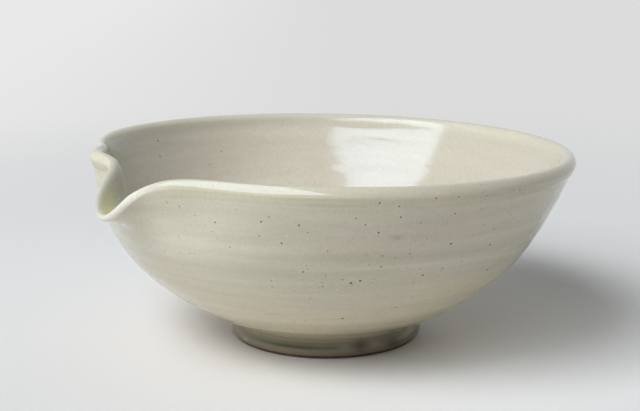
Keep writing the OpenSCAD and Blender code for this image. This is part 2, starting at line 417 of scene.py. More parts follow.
# The photograph's camera, in millimetres from the middle of the foot: right of it, away from it and up
LIP_BEARING = 37.7
CAMERA_AT = (0.0, -419.64, 134.81)
CAMERA_PITCH = 0.2210
CAMERA_YAW = -0.0046
FOCAL_PIXELS = 1371.46
IMAGE_WIDTH = 640
SENSOR_WIDTH = 36.0

# Softboxes: name, bearing as the camera sees it (right 0, away 90) and height in degrees, distance, width and
# length in metres, power and colour. The window leans back a little, is rolled and shows in the glaze; the
# fills face the bowl and only light it
SOFTBOXES = (
    ("key_window", -138.5, 60.0, 2.27, 1.27, 3.14, 55.0, (0.80, 0.895, 1.0)),
    ("high_fill", -138.0, 49.5, 1.6, 0.90, 0.50, 9.5, (0.90, 0.935, 1.0)),
    ("left_fill", -162.0, 16.0, 1.6, 1.40, 0.70, 8.6, (0.80, 0.91, 1.0)),
    ("right_fill", 35.0, 27.0, 1.6, 2.80, 0.90, 11.0, (0.80, 0.92, 1.0)),
)
WINDOW_ROLL = 13.0
WINDOW_LEAN = 13.0
SKY_LIGHT = 0.055

# Floor, in metres: it turns into the plain background between two distances from the pot, and the background
# is paler on the camera's left, between two distances to the right of the pot
FLOOR_RADIUS = 5.0
FLOOR_CORNERS = 128
FLOOR_NEAR = 0.14
FLOOR_FAR = 0.50
PALER_SIDE = (-0.30, 0.05)
FLOOR_CLOUD = 1.02
FLOOR_ROUGHNESS = 0.6
FLOOR_SPECULAR = 0.2


def clip(x):
    return np.clip(x, 0.0, 1.0)


def ease(x):
    return clip(x) ** 2 * (3.0 - 2.0 * clip(x))


def bump(x):
    return np.exp(-x * x)


def half_turn(turn):
    """The same turn, counted up to half way round in each direction."""
    return turn - 360.0 * np.round(turn / 360.0)


def cosd(a):
    return np.cos(np.radians(a))


def sind(a):
    return np.sin(np.radians(a))


def unit(v):
    return v / np.linalg.norm(v, axis=-1, keepdims=True)


WALL_POINTS = np.array([
    (FOOT_RADIUS, FOOT_HEIGHT),
    (FOOT_RADIUS + RISE_RUN * cosd(RISE_ANGLE), FOOT_HEIGHT + RISE_RUN * sind(RISE_ANGLE)),
    (RIM_RADIUS - FLARE_RUN * sind(FLARE_ANGLE), RIM_HEIGHT - FLARE_RUN * cosd(FLARE_ANGLE)),
    (RIM_RADIUS, RIM_HEIGHT),
])


def section(h):
    """Radius and height of the thrown outside at a share h of the way up its curve."""
    h = np.asarray(h, float)
    shares = ((1 - h) ** 3, 3 * (1 - h) ** 2 * h, 3 * (1 - h) * h ** 2, h ** 3)
    radius = sum(s * p[0] for s, p in zip(shares, WALL_POINTS))
    z = sum(s * p[1] for s, p in zip(shares, WALL_POINTS))
    return radius, z


PATH_SHARES = np.linspace(0.0, 1.0, PATH_STEPS + 1)
PATH_POINTS = np.stack(section(PATH_SHARES), axis=-1)
PATH_LENGTHS = np.concatenate([[0.0], np.cumsum(np.linalg.norm(np.diff(PATH_POINTS, axis=0), axis=1))])


def path_length(h):
    """Length of wall from the foot up to share h."""
    return np.interp(h, PATH_SHARES, PATH_LENGTHS)


def lip_share(turn, below):
    return bump(half_turn(turn) / LIP_SPREAD) * np.maximum(0.0, 1.0 - below / LIP_DEPTH) ** 2


def fold(turn):
    return (
        SWELL * bump((turn - SWELL_TURN) / FOLD_SPREAD)
        - PINCH * bump((turn - PINCH_TURN) / FOLD_SPREAD)
        - FLAT * bump((turn - FLAT_TURN) / FLAT_SPREAD)
    )


def outside(turn, h):
    """Outside of the finished clay bowl."""
    t = half_turn(turn)
    radius, z = section(h)
    below = RIM_HEIGHT - z
    share = np.maximum(0.0, (z - FOOT_HEIGHT) / (RIM_HEIGHT - FOOT_HEIGHT))
    radius = radius + LIP_REACH * lip_share(t, below) + fold(t) * ease(1.0 - below / FOLD_DEPTH)
    shift = RIM_LEAN * share ** 2 - BELLY_LEAN * sind(180.0 * clip(share)) ** 2
    tilt = math.tan(math.radians(RIM_TILT)) * cosd(t - TILT_TURN) * radius * share
    dip = LIP_DROP * bump((t - DROP_TURN) / DROP_SPREAD) * np.maximum(0.0, 1.0 - below / DROP_DEPTH) ** 2
    return np.stack(np.broadcast_arrays(
        radius * cosd(t) + shift * cosd(LEAN_TURN),
        radius * sind(t) + shift * sind(LEAN_TURN),
        z - dip + tilt,
    ), axis=-1)


def upward(turn, h):
    return unit(outside(turn, h + NUDGE) - outside(turn, h - NUDGE))


def outward(turn, h):
    across = outside(turn + NUDGE_TURN, h) - outside(turn - NUDGE_TURN, h)
    return unit(np.cross(across, upward(turn, h)))


def below_rim(h):
    return RIM_HEIGHT - section(h)[1]


def roll(turn, h):
    """How far the rolled rim stands out from the wall."""
    below = below_rim(h)
    plain = (1.0 - bump(half_turn(turn) / ROLL_FADE)) * (1.0 - thin_share(turn, below))
    firm = 1.0 - ROLL_SOFT_SHARE * bump(half_turn(turn - ROLL_SOFT_TURN) / ROLL_SOFT_SPREAD)
    return ROLL_PROUD * ease((ROLL_HEIGHT - below) / (ROLL_HEIGHT / 2.0)) * plain * firm


def thin_share(turn, below):
    """How far the wall has thinned to the edge of the lip: fully at the lip, partly beside it."""
    far = THIN_SHARE * bump(half_turn(turn - THIN_TURN) / THIN_SPREAD)
    near = NEAR_SHARE * bump(half_turn(turn - NEAR_TURN) / NEAR_SPREAD)
    return np.maximum(lip_share(turn, below), (far + near) * clip(1.0 - below / THIN_DEPTH) ** 2)


def thickness(turn, h):
    """Thickness of the clay."""
    below = below_rim(h)
    thin = thin_share(turn, below)
    far_side = bump(half_turn(turn - ROLL_IN_TURN) / ROLL_IN_SPREAD)
    rolled = ROLL_IN * far_side * ease(1.0 - below / ROLL_IN_DEPTH)
    return (WALL_THICKNESS + BASE_SWELL * (1.0 - h) ** 3) * (1.0 - thin) + LIP_EDGE * thin + rolled


def throwing(path, turn, marks):
    """Height of the throwing marks after a length of path from where the potter's fingers began."""
    round_it = np.radians(turn)
    total = 0.0
    for pitch, depth, phase, spiral, wander, lobes in marks:
        wave = 2.0 * math.pi * path / pitch + phase - spiral * round_it
        drift = np.sin(lobes * round_it + phase + path / MARKS_DRIFT)
        total = total + depth * np.sin(wave + wander * drift)
    return total


def ridge(turn, path):
    """The throwing line that stands out: 1 along its crest, fading towards its two ends."""
    t = half_turn(turn)
    crest = RIDGE_PATH - RIDGE_DROOP * (t - RIDGE_TURN) ** 2
    ends = ease((t - RIDGE_FROM) / RIDGE_FADE) * ease((RIDGE_TO - t) / RIDGE_FADE)
    return ends * bump((path - crest) / RIDGE_WIDTH)


def outside_marks(turn, h):
    path = path_length(h)
    fade = ease(path / MARKS_ABOVE_FOOT) * ease((below_rim(h) - MARKS_BELOW_RIM) / MARKS_RIM_FADE)
    return fade * throwing(path, turn, OUTSIDE_MARKS) + RIDGE_PROUD * ridge(turn, path)


def inside_marks(turn, h):
    fade = ease((below_rim(h) - INSIDE_BELOW_RIM) / INSIDE_RIM_FADE)
    return fade * throwing(FOOT_RADIUS + path_length(h), turn, INSIDE_MARKS)


column = np.arange(COLUMNS) / COLUMNS
TURNS = 360.0 * column - np.degrees(LIP_CROWDING * np.sin(2.0 * math.pi * column))


def wall_heights(steps, low=0.0):
    """Shares of the way up the wall, gathered under the rim."""
    return low + (1.0 - low) * (1.0 - (1.0 - np.arange(steps + 1) / steps) ** RIM_CROWDING)


def grid(heights):
    """Turns and heights of every point of a set of rings."""
    return np.broadcast_arrays(TURNS[None, :], np.asarray(heights, float)[:, None])


def outer_rings(heights, grow, marks=0.0):
    t, h = grid(heights)
    lift = roll(t, h) + grow + (marks * outside_marks(t, h) if marks else 0.0)
    return outside(t, h) + outward(t, h) * lift[..., None]


def inner_rings(heights, grow, marks=0.0):
    t, h = grid(heights)
    depth = thickness(t, h) + grow + (marks * inside_marks(t, h) if marks else 0.0)
    return outside(t, h) - outward(t, h) * depth[..., None]


def rim_rings(angles, grow):
    """Rings over the rounded edge of the rim, at angles from its outside over its crest to its inside."""
    t, a = grid(angles)
    one = np.ones_like(t)
    out, up = outward(t, one), upward(t, one)
    r, w = roll(t, one)[..., None], thickness(t, one)[..., None]
    bevel = RIM_BEVEL + BEVEL_MORE * bump(half_turn(t - BEVEL_TURN) / BEVEL_SPREAD)
    power = np.where(a < CREST, bevel, 1.0)
    across = np.sign(cosd(a)) * np.abs(cosd(a)) ** power
    rise = np.abs(sind(a)) ** power
    around = out * across[..., None] + up * rise[..., None]
    return outside(t, one) + out * (r - w) / 2.0 + ((r + w) / 2.0 + grow) * around


def floor_rings(shares, grow, marks=0.0):
    """Rings over the floor, from its edge (share 1) to near its middle, falling to a level middle."""
    edge = inner_rings([0.0], grow)[0]
    after = inner_rings([NUDGE], grow)[0]
    reach = np.linalg.norm(edge[:, :2], axis=1)
    slope = (after[:, 2] - edge[:, 2]) / (np.linalg.norm(after[:, :2], axis=1) - reach)
    level = FLOOR_LEVEL + grow
    rise = edge[:, 2] - level
    power = np.maximum(FLOOR_POWER, slope * reach / np.maximum(rise, FLOOR_RISE))
    x = np.asarray(shares, float)[:, None]
    z = level + rise * x ** power
    if marks:
        z = z + marks * ease(x / FLOOR_MARKS_FADE) * throwing(FOOT_RADIUS * x, TURNS[None, :], INSIDE_MARKS)
    return np.stack(np.broadcast_arrays(edge[:, 0] * x, edge[:, 1] * x, z), axis=-1)


def revolved(profile):
    """Rings of points about Z from a profile of radius and height."""
    profile = np.asarray(profile, float)
    r, z = profile[:, :1], profile[:, 1:]
    return np.stack(np.broadcast_arrays(r * cosd(TURNS), r * sind(TURNS), z), axis=-1)


def mix(a, b, share):
    """Colour a turning into colour b by a share, over arrays."""
    share = np.asarray(share, float)[..., None]
    return np.asarray(a) * (1.0 - share) + np.asarray(b) * share


def patched(tint, turn, along, patches):
    """A tint with soft patches of other colours laid over it."""
    for at_turn, at, width, height, share, colour in patches:
        around = bump(half_turn(turn - at_turn) / width)
        tint = mix(tint, colour, share * around * bump((along - at) / height))
    return tint


def banded(tint, turn, bands):
    """A tint with soft upright bands of other colours laid over it."""
    for at_turn, width, share, colour in bands:
        tint = mix(tint, colour, share * bump(half_turn(turn - at_turn) / width))
    return tint


def crest_tint(turn):
    """Crest colour: cream, a white painted highlight at the lip, straw beside it and olive on the right."""
    return banded(RIM_CREAM, turn, CREST_BANDS)


def outside_tint(turn, h):
    """Outside colour: grey, warm, then olive towards the foot, banded under the rim, with painted light and
    shade.
    """
    below = below_rim(h)
    path = path_length(h)
    tint = mix(ASH_GREY, ASH_WARM, ease((WARM_BELOW - h) / WARM_FADE))
    tint = patched(tint, turn, path, OUTSIDE_PATCHES)
    # A painted highlight along the ridge
    tint = mix(tint, RIDGE_PAINTED_HIGHLIGHT, RIDGE_HIGHLIGHT_SHARE * ridge(turn, path))
    # Olive by the foot: partly the glaze's own, partly painted shade where the wall turns under
    tint = mix(tint, FOOT_OLIVE, OLIVE_SHADE_SHARE * ease((OLIVE_SHADE_REACH - path) / OLIVE_SHADE_REACH) ** OLIVE_SHADE_POWER)
    left = bump(half_turn(turn - LEFT_TURN) / LEFT_SPREAD)
    plain = 1.0 - bump(half_turn(turn - NO_BAND_TURN) / NO_BAND_SPREAD)
    low_band = LOW_BAND_SHARE * plain * ease((LOW_BAND_DEPTH - below) / LOW_BAND_FADE)
    tint = mix(tint, mix(RIM_OLIVE, RIM_PINK, left), low_band)
    high_band = HIGH_BAND_SHARE * plain * ease((HIGH_BAND_DEPTH - below) / HIGH_BAND_FADE)
    tint = mix(tint, mix(RIM_OLIVE, RIM_BUFF, left), high_band)
    return mix(tint, crest_tint(turn), ease((CREST_DEPTH - below) / CREST_FADE))


def inside_tint(turn, h):
    """Inside: beige, greyer by the lip, cream at the rim, olive where pooled; painted light and shade."""
    below = below_rim(h)
    tint = banded(INSIDE_BEIGE, turn, INSIDE_BANDS)
    tint = mix(tint, INSIDE_BEIGE, ease((BANDS_FROM - h) / BANDS_FADE))
    crest = INSIDE_CREST_SHARE * ease((INSIDE_CREST_DEPTH - below) / INSIDE_CREST_DEPTH)
    tint = mix(tint, crest_tint(turn), crest)
    shoulder = SHOULDER_SHARE * bump(half_turn(turn - SHOULDER_TURN) / SHOULDER_SPREAD)
    tint = mix(tint, LIP_SHADE, shoulder * ease((SHOULDER_DEPTH - below) / SHOULDER_FADE))
    shade = bump(half_turn(turn - SHADE_TURN) / SHADE_SPREAD)
    shade = shade * ease((below + SHADE_EDGE / 2.0) / SHADE_EDGE) * ease((SHADE_DEPTH - below) / SHADE_FADE)
    tint = mix(tint, LIP_SHADE, SHADE_SHARE * shade)
    pool = bump(half_turn(turn) / LIP_POOL_SPREAD)
    pool = pool * ease(below / LIP_POOL_EDGE) * ease((LIP_POOL_DEPTH - below) / LIP_POOL_FADE)
    return mix(tint, LIP_OLIVE, LIP_POOL_SHARE * pool)


def ring_object(name, rings, tints=None, close_loop=False, first=None, last=None):
    """A mesh over rings of points, closed into a tube or by a point at each end, with its points' colours."""
    rings = np.asarray(rings, float)
    count, columns = rings.shape[:2]
    points = rings.reshape(-1, 3)
    this = np.arange(columns)
    after = (this + 1) % columns
    faces = []
    for i in range(count if close_loop else count - 1):
        low, high = i * columns, (i + 1) % count * columns
        faces.extend(np.stack([low + this, low + after, high + after, high + this], axis=1).tolist())
    colours = None if tints is None else np.asarray(tints, float).reshape(-1, 3)
    if first is not None:
        end = len(points)
        points = np.vstack([points, first, last])
        top = (count - 1) * columns
        faces.extend([[end, int(b), int(a)] for a, b in zip(this, after)])
        faces.extend([[end + 1, top + int(a), top + int(b)] for a, b in zip(this, after)])
        if colours is not None:
            colours = np.vstack([colours, colours[0], colours[-1]])
    mesh = bpy.data.meshes.new(name)
    mesh.from_pydata((points * MM).tolist(), [], faces)
    mesh.update()
    if colours is not None:
        layer = mesh.color_attributes.new("tint", "FLOAT_COLOR", "POINT")
        rgba = np.ones((len(points), 4), np.float32)
        rgba[:, :3] = colours
        layer.data.foreach_set("color", rgba.ravel())
    mesh.shade_smooth()
    mesh.set_sharp_from_angle(angle=math.radians(SHARP_ANGLE))
    piece = bpy.data.objects.new(name, mesh)
    bpy.context.scene.collection.objects.link(piece)
    return piece


def add_piece(piece, node, material):
    """The piece takes the place of a CAD node, which is hidden, rides on the only body and is given its
    material.
    """
    piece.data.materials.append(material)
    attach(piece, "root")
    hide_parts(node)
    return piece


class Shader:
    """A material's nodes, written as calls: a constant is set on the socket, and a socket is linked to it."""

    def __init__(self, name):
        self.material = bpy.data.materials.new(name)
        self.material.use_nodes = True
        self.tree = self.material.node_tree
        self.surface = self.tree.nodes["Principled BSDF"]

    def put(self, node, inputs):
        for key, value in inputs.items():
            socket = node.inputs[key]
            if isinstance(value, bpy.types.NodeSocket):
                self.tree.links.new(value, socket)
            else:
                socket.default_value = value

    def add(self, kind, inputs=None, **settings):
        node = self.tree.nodes.new("ShaderNode" + kind)
        for key, value in settings.items():
            setattr(node, key, value)
        self.put(node, inputs or {})
        return node

    def math(self, operation, a, b=0.0):
        return self.add("Math", {0: a, 1: b}, operation=operation).outputs[0]

    def mapped(self, value, low, high, to_low=0.0, to_high=1.0):
        """A value's rise from low to high, as a smooth rise from one number to another."""
        inputs = {"Value": value, "From Min": low, "From Max": high, "To Min": to_low, "To Max": to_high}
        return self.add("MapRange", inputs, interpolation_type="SMOOTHSTEP").outputs["Result"]

    def mixed(self, share, a, b, blend="MIX"):
        node = self.add("Mix", data_type="RGBA", blend_type=blend)
        self.put(node, {0: share, 6: a, 7: b})
        return node.outputs[2]

    def placed(self, vector, scale=(1.0, 1.0, 1.0), shift=(0.0, 0.0, 0.0)):
        return self.add("Mapping", {"Vector": vector, "Scale": scale, "Location": shift}).outputs["Vector"]

    def noise(self, vector, scale, detail, roughness):
        inputs = {"Vector": vector, "Scale": scale, "Detail": detail, "Roughness": roughness}
        return self.add("TexNoise", inputs).outputs["Fac"]

    def spots(self, vector, cell, largest):
        """Round spots, about one to a cell, each with its own size up to the largest."""
        cells = self.add("TexVoronoi", {"Vector": vector, "Scale": 1.0 / (cell * MM)})
        chance = self.add("SeparateColor", {"Color": cells.outputs["Color"]}).outputs[0]
        radius = self.mapped(chance, EMPTY_CELLS, 1.0, 0.0, largest / cell)
        inner = self.math("MULTIPLY", radius, 1.0 - SPOT_SOFTNESS)
        return self.mapped(cells.outputs["Distance"], inner, radius, 1.0, 0.0)


def rgba(colour):
    return (*colour, 1.0)


def glaze_material(name, roughness, specks, blush, streaks, ripple=0.35, index=1.6, sheen=(1.0, 1.0, 1.0)):
    """Glossy ash glaze over the points' own tint, with blush, brushed streaks, iron specks and pinholes."""
    s = Shader(name)
    place = s.add("TexCoord").outputs["Object"]
    tint = s.add("Attribute", attribute_name="tint").outputs["Color"]

    clouds = s.noise(place, *GLAZE_CLOUDS)
    colour = s.mixed(s.mapped(clouds, *BLUSH_RANGE, 0.0, blush), tint, rgba(BLUSH))
    brushed = s.mapped(s.noise(s.placed(place, STREAK_STRETCH), *GLAZE_STREAKS), *NOISE_MIDDLE)
    brushed = s.mixed(brushed, rgba((1.0 - streaks,) * 3), rgba((1.0 + streaks,) * 3))
    colour = s.mixed(1.0, colour, brushed, "MULTIPLY")
    grain = s.mapped(s.noise(place, *GLAZE_GRAIN), *NOISE_MIDDLE)
    colour = s.mixed(1.0, colour, s.mixed(grain, rgba(GRAIN_DARK), rgba(GRAIN_PALE)), "MULTIPLY")

    crowd = s.mapped(s.noise(place, *GLAZE_CROWD), *CROWD_RANGE, *CROWD_SHARES)
    fine = s.math("MULTIPLY", s.spots(place, *FINE_SPOTS), crowd)
    colour = s.mixed(s.math("MULTIPLY", fine, FINE_SHARE * specks), colour, rgba(IRON))
    coarse = s.spots(s.placed(place, shift=COARSE_SHIFT), *COARSE_SPOTS)
    colour = s.mixed(s.math("MULTIPLY", coarse, COARSE_SHARE * specks), colour, rgba(IRON))
    pinholes = s.spots(s.placed(place, shift=PINHOLE_SHIFT), *PINHOLES)
    colour = s.mixed(s.math("MULTIPLY", pinholes, PINHOLE_SHARE), colour, rgba(PINHOLE))

    wave = s.noise(s.placed(place, RIPPLE_STRETCH), *GLAZE_RIPPLE)
    rippled = s.add("Bump", {"Strength": ripple, "Distance": RIPPLE_DEPTH, "Height": wave})
    pits = {"Strength": PIT_STRENGTH, "Distance": PIT_DEPTH, "Height": coarse}
    pitted = s.add("Bump", {**pits, "Normal": rippled.outputs["Normal"]})
    s.put(s.surface, {
        "Base Color": colour,
        "Roughness": s.mapped(clouds, *NOISE_MIDDLE, *(roughness * x for x in GLAZE_ROUGHER)),
        "IOR": index,
        "Specular Tint": rgba(sheen),
        "Normal": pitted.outputs["Normal"],
    })
    return s.material


def clay_material(name, colour):
    """Bare fired stoneware, gritty and dull."""
    s = Shader(name)
    place = s.add("TexCoord").outputs["Object"]
    grit = s.noise(place, *CLAY_GRIT)
    toast = s.mapped(s.noise(place, *CLAY_TOAST), *TOAST_RANGE)
    body = s.mixed(toast, rgba(tuple(TOAST_DARK * c for c in colour)), rgba(colour))
    iron = s.math("MULTIPLY", s.spots(place, *CLAY_SPOTS), CLAY_SPOT_SHARE)
    gritty = s.add("Bump", {"Strength": GRIT_STRENGTH, "Distance": GRIT_DEPTH, "Height": grit})
    s.put(s.surface, {
        "Base Color": s.mixed(iron, body, rgba(IRON)),
        "Roughness": s.mapped(grit, *NOISE_MIDDLE, *CLAY_ROUGHNESS),
        "Normal": gritty.outputs["Normal"],
    })
    return s.material


def iron_material(name):
    """Iron melted out of the clay: dark brown, mottled and half dull."""
    s = Shader(name)
    place = s.add("TexCoord").outputs["Object"]
    mottle = s.noise(place, *IRON_MOTTLE)
    s.put(s.surface, {
        "Base Color": s.mixed(s.mapped(mottle, *TOAST_RANGE), rgba(IRON), rgba(RUST)),
        "Roughness": s.mapped(mottle, *NOISE_MIDDLE, *IRON_ROUGHNESS),
    })
    return s.material


OUTSIDE_GLAZE = glaze_material("outside_ash_glaze", roughness=0.065, specks=1.0, blush=0.4, streaks=0.05)
INSIDE_GLAZE = glaze_material(
    "inside_ash_glaze", roughness=0.12, specks=0.45, blush=0.22, streaks=0.02,
    ripple=1.0, index=1.7, sheen=(0.78, 0.86, 0.94),
)
FOOT_GLAZE = glaze_material(
    "foot_ash_glaze", roughness=0.16, specks=0.35, blush=0.10, streaks=0.06,
    index=1.5, sheen=(1.0, 0.92, 0.78),
)
BASE_GLAZE = glaze_material("base_ash_glaze", roughness=0.18, specks=0.6, blush=0.35, streaks=0.03)
STONEWARE = clay_material("stoneware", CLAY_BROWN)
FOOT_CLAY = clay_material("bare_foot_clay", BARE_CLAY)
IRON_SPECK = iron_material("iron_speck")

# Outside coat, from the foot to the crest of the rim and back along the clay
outer_h = wall_heights(WALL_STEPS, POOL_SHARE)
outer_rim = [*(CREST * np.arange(1, RIM_STEPS + 1) / (RIM_STEPS + 1)), CREST - SEAM_ANGLE, CREST]
clay_h = wall_heights(CLAY_STEPS)
clay_rim = CREST * np.arange(1, RIM_STEPS + 1) / RIM_STEPS
coat = np.concatenate([
    revolved([(FOOT_RADIUS + POOL_REACH, FOOT_HEIGHT)]),
    outer_rings(outer_h, GLAZE, 1.0),
    rim_rings(outer_rim, GLAZE),
])
coat_back = np.concatenate([outer_rings(clay_h, 0.0), rim_rings(clay_rim, 0.0)])[::-1]
coat_h = np.concatenate([[0.0], outer_h, np.ones(len(outer_rim)), np.ones(len(clay_rim)), clay_h[::-1]])
glaze_outside = ring_object(
    "glaze_outside", np.concatenate([coat, coat_back]), outside_tint(*grid(coat_h)), close_loop=True
)
add_piece(glaze_outside, "outside_glaze", OUTSIDE_GLAZE)

# Inside coat, up along the clay from the floor to the crest and back down over the glaze
inner_h = wall_heights(WALL_STEPS)[::-1]
inner_rim = [CREST, CREST + SEAM_ANGLE, *(CREST + CREST * np.arange(1, RIM_STEPS + 1) / (RIM_STEPS + 1))]
floor_x = np.arange(FLOOR_STEPS - 1, 0, -1) / FLOOR_STEPS
lining_back = np.concatenate([
    rim_rings(CREST + CREST * np.arange(RIM_STEPS) / RIM_STEPS, 0.0),
    inner_rings(clay_h[::-1], 0.0),
    floor_rings(floor_x, 0.0),
])[::-1]
lining = np.concatenate([
    rim_rings(inner_rim, GLAZE),
    inner_rings(inner_h, GLAZE, 1.0),
    floor_rings(floor_x, GLAZE, 1.0),
])
lining_h = np.concatenate([
    np.zeros(len(floor_x)), clay_h, np.ones(RIM_STEPS),
    np.ones(len(inner_rim)), inner_h, np.zeros(len(floor_x)),
])
glaze_inside = ring_object(
    "glaze_inside",
    np.concatenate([lining_back, lining]),
    inside_tint(*grid(lining_h)),
    first=[0.0, 0.0, FLOOR_LEVEL],
    last=[0.0, 0.0, FLOOR_LEVEL + GLAZE],
)
add_piece(glaze_inside, "inside_glaze", INSIDE_GLAZE)

# The clay between the two coats
clay_full_rim = RIM_INSIDE * np.arange(1, 2 * RIM_STEPS) / (2 * RIM_STEPS)
clay = np.concatenate([
    outer_rings(clay_h, 0.0),
    rim_rings(clay_full_rim, 0.0),
    inner_rings(clay_h[::-1], 0.0),
    floor_rings(floor_x, 0.0),
])
clay_bowl = ring_object("stoneware_bowl", clay, first=[0.0, 0.0, FOOT_HEIGHT], last=[0.0, 0.0, FLOOR_LEVEL])
add_piece(clay_bowl, "clay_bowl", STONEWARE)


def arc(centre, radius, start, end, points):
    """Points of a profile along an arc, with its angles in degrees."""
    a = np.linspace(start, end, points)
    return np.stack([centre[0] + radius * cosd(a), centre[1] + radius * sind(a)], axis=-1)


def foot_side(z):
    """Radius of the clay foot at a height."""
    neck = FOOT_NECK * ease((z - NECK_FROM) / (FOOT_HEIGHT - NECK_FROM))
    return FOOT_RADIUS - FOOT_INSET - FOOT_TAPER * (FOOT_HEIGHT - z) / (FOOT_HEIGHT - FOOT_ROUND) - neck


foot_bottom = FOOT_RADIUS - FOOT_INSET - FOOT_TAPER
foot_profile = np.concatenate([
    [(FOOT_INNER_RADIUS, FOOT_HEIGHT)],
    arc((FOOT_INNER_RADIUS + FOOT_ROUND, FOOT_ROUND), FOOT_ROUND, 180.0, 270.0, ROUND_POINTS),
    arc((foot_bottom - FOOT_ROUND, FOOT_ROUND), FOOT_ROUND, 270.0, 360.0, ROUND_POINTS),
    [(foot_side(z), z) for z in np.linspace(NECK_FROM, FOOT_HEIGHT, NECK_POINTS)],
])
foot_ring = ring_object("bare_foot_ring", revolved(foot_profile), close_loop=True)
add_piece(foot_ring, "foot_ring", FOOT_CLAY)

# Glaze on the foot: a rounded hem above the bare clay, a run up its side and a pooled fillet under the bowl
pool_low = FOOT_HEIGHT - POOL_HEIGHT
hem_high = BARE_HEIGHT + GLAZE
u = np.linspace(0.0, 1.0, HEM_POINTS)[:, None]
hem_swell = GLAZE * np.sqrt(np.maximum(0.0, 1.0 - (1.0 - u) ** 2))
hem = np.concatenate([foot_side(BARE_HEIGHT) + hem_swell, BARE_HEIGHT + GLAZE * u], axis=1)
run_z = np.linspace(hem_high, pool_low, RUN_POINTS)[1:-1]
run = np.stack([foot_side(run_z) + GLAZE, run_z], axis=1)
pool_from = np.array((foot_side(pool_low) + GLAZE, pool_low))
pool_to = np.array((FOOT_RADIUS + POOL_REACH, FOOT_HEIGHT))
pool_drop = (pool_to[0] - pool_from[0]) * math.tan(math.radians(RISE_ANGLE))
pool_bend = np.array((pool_from[0], FOOT_HEIGHT - pool_drop))
v = np.linspace(0.0, 1.0, POOL_POINTS)[:, None]
pool = (1 - v) ** 2 * pool_from + 2 * v * (1 - v) * pool_bend + v ** 2 * pool_to
back_z = np.linspace(FOOT_HEIGHT, BARE_HEIGHT, BACK_POINTS)[:-1]
foot_back = np.stack([foot_side(back_z), back_z], axis=1)
foot_coat = np.concatenate([hem, run, pool, foot_back])


def foot_tint(turn, z):
    """Olive glaze, buff towards its hem and pale with painted light under the bowl, with dark patches and
    painted reflections.
    """
    share = (z - BARE_HEIGHT) / (FOOT_HEIGHT - BARE_HEIGHT)
    tint = mix(FOOT_OLIVE, FOOT_BUFF, ease((FOOT_BUFF_BELOW - share) / FOOT_BUFF_FADE))
    # Pale under the bowl: partly the glaze's own, partly painted light
    tint = mix(tint, FOOT_PALE_AND_PAINTED_LIGHT, ease((share - FOOT_PALE_ABOVE) / FOOT_PALE_FADE))
    return patched(tint, turn, z, FOOT_PATCHES)


foot_t, foot_z = np.broadcast_arrays(TURNS[None, :], foot_coat[:, 1:])
foot_glaze = ring_object("glaze_foot", revolved(foot_coat), foot_tint(foot_t, foot_z), close_loop=True)
add_piece(foot_glaze, "foot_glaze", FOOT_GLAZE)

# Glaze under the bowl and down the inside of the foot
base_r = np.linspace(FOOT_INNER_RADIUS - 4.0 * GLAZE, BASE_MIDDLE, BASE_POINTS)
base_profile = np.concatenate([
    [(FOOT_INNER_RADIUS, FOOT_HEIGHT), (FOOT_INNER_RADIUS, BARE_HEIGHT)],
    arc((FOOT_INNER_RADIUS, hem_high), GLAZE, 270.0, 180.0, BASE_HEM_POINTS),
    arc((FOOT_INNER_RADIUS - 2.0 * GLAZE, FOOT_HEIGHT - 2.0 * GLAZE), GLAZE, 0.0, 90.0, BASE_BEND_POINTS),
    [(r, FOOT_HEIGHT - GLAZE) for r in base_r],
])
base_rings = revolved(base_profile[::-1])
top_ring = revolved([(BASE_MIDDLE, FOOT_HEIGHT)])
base_glaze = ring_object(
    "glaze_base",
    np.concatenate([base_rings, top_ring]),
    np.broadcast_to(ASH_WARM, (len(base_profile) + 1, COLUMNS, 3)),
    first=[0.0, 0.0, FOOT_HEIGHT - GLAZE],
    last=[0.0, 0.0, FOOT_HEIGHT],
)
add_piece(base_glaze, "base_glaze", BASE_GLAZE)


def speck_points(turn, h, inside):
    """Points on the finished glaze, and the directions away from it."""
    out = outward(turn, h)
    if inside:
        depth = thickness(turn, h) + GLAZE + inside_marks(turn, h)
        return outside(turn, h) - out * depth[:, None], -out
    lift = roll(turn, h) + GLAZE + outside_marks(turn, h)
    return outside(turn, h) + out * lift[:, None], out


def speck_mesh(name, centres, directions, radii, draw):
    """Small closed domes of iron, each standing just proud of the coat around it."""
    points, faces = [], []
    angles = 2.0 * math.pi * np.arange(SPECK_SIDES) / SPECK_SIDES
    for centre, out, radius in zip(centres, directions, radii):
        side = unit(np.cross((0.0, 0.0, 1.0), out))
        rise = np.cross(out, side)
        reach = SPECK_SIZE * radius * (1.0 + SPECK_UNEVEN * draw.uniform(-1.0, 1.0, SPECK_SIDES))
        ring = centre + SPECK_EDGE * out + reach[:, None] * (
            np.cos(angles)[:, None] * side + np.sin(angles)[:, None] * rise
        )
        start = len(points)
        points.extend([*ring, centre + SPECK_PROUD * out, centre - SPECK_SUNK * out])
        top, bottom = start + SPECK_SIDES, start + SPECK_SIDES + 1
        for i in range(SPECK_SIDES):
            this, after = start + i, start + (i + 1) % SPECK_SIDES
            faces.extend([[top, this, after], [bottom, after, this]])
    mesh = bpy.data.meshes.new(name)
    mesh.from_pydata((np.array(points) * MM).tolist(), [], faces)
    mesh.update()
    mesh.shade_smooth()
    piece = bpy.data.objects.new(name, mesh)
    bpy.context.scene.collection.objects.link(piece)
    return piece


